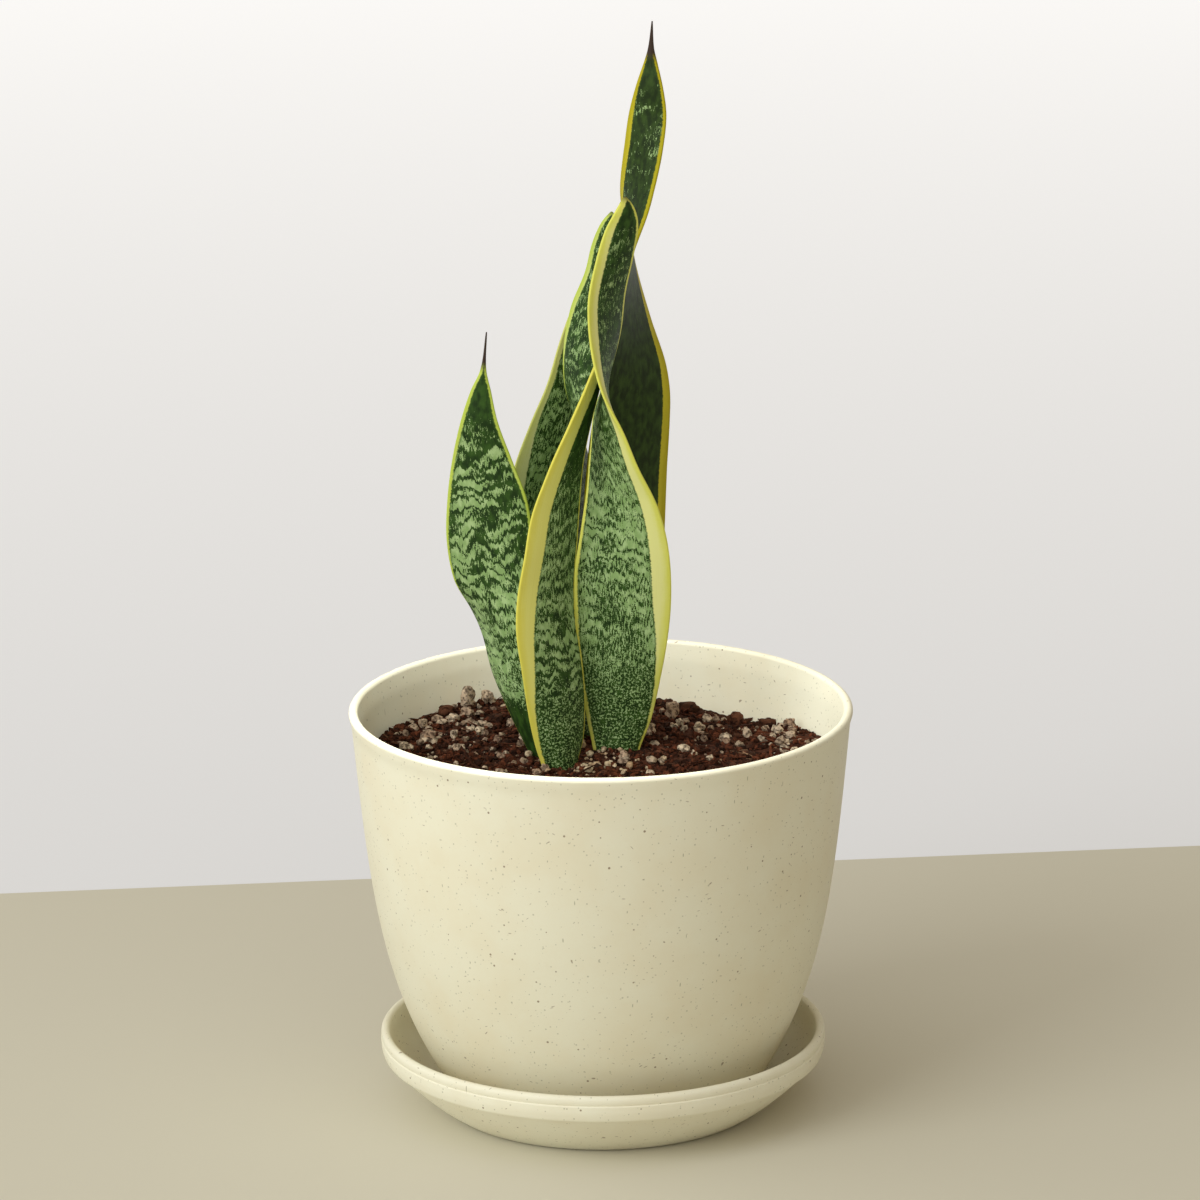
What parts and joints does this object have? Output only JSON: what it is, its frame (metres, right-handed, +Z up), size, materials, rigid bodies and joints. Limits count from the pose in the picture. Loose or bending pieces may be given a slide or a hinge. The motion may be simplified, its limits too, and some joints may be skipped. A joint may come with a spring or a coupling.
{
  "type": "potted snake plant",
  "caption": "Snake plant with stiff twisted yellow-edged leaves in a plain round plant-fibre pot on a matching saucer",
  "frame": {"origin": "on the pot's axis, at the surface that the saucer stands on", "axes": "+Z up along the pot's axis, -Y towards the side of the two front leaves, +X to the right seen from there"},
  "size_m": [0.16, 0.16, 0.346],
  "materials": {
    "saucer": "moulded plant-fibre plastic, satin, with fine brown specks",
    "pot": "moulded plant-fibre plastic, satin, with fine brown specks",
    "soil": "crumbly potting mix of bark fibre and peat",
    "leaf": "waxy green leaf with pale cross bands and yellow margins",
    "rhizome": "fibrous tan rhizome skin",
    "pumice": "rough porous stone",
    "bark": "rough composted bark",
    "pebble": "rough pale stone"
  },
  "bodies": {
    "root": {"saucer": "saucer", "pot": "pot", "soil": "soil", "rhizome": "rhizome", "leaf_left": "leaf", "leaf_back_left": "leaf", "leaf_middle_twisted": "leaf", "leaf_front_twisted": "leaf", "leaf_tall_twisted": "leaf", "leaf_front_left": "leaf", "pumice_grain_01": "pumice", "pumice_grain_02": "pumice", "pumice_grain_03": "pumice", "pumice_grain_04": "pumice", "pumice_grain_05": "pumice", "pumice_grain_06": "pumice", "pumice_grain_07": "pumice", "pumice_grain_08": "pumice", "pumice_grain_09": "pumice", "pumice_grain_10": "pumice", "pumice_grain_11": "pumice", "pumice_grain_12": "pumice", "pumice_grain_13": "pumice", "pumice_grain_14": "pumice", "pumice_grain_15": "pumice", "pumice_grain_16": "pumice", "bark_chip_01": "bark", "bark_chip_02": "bark", "bark_chip_03": "bark", "bark_chip_04": "bark", "bark_chip_05": "bark", "bark_chip_06": "bark", "pebble_01": "pebble", "pebble_02": "pebble", "pebble_03": "pebble", "pebble_04": "pebble", "pebble_05": "pebble", "pebble_06": "pebble"}
  },
  "joints": []
}
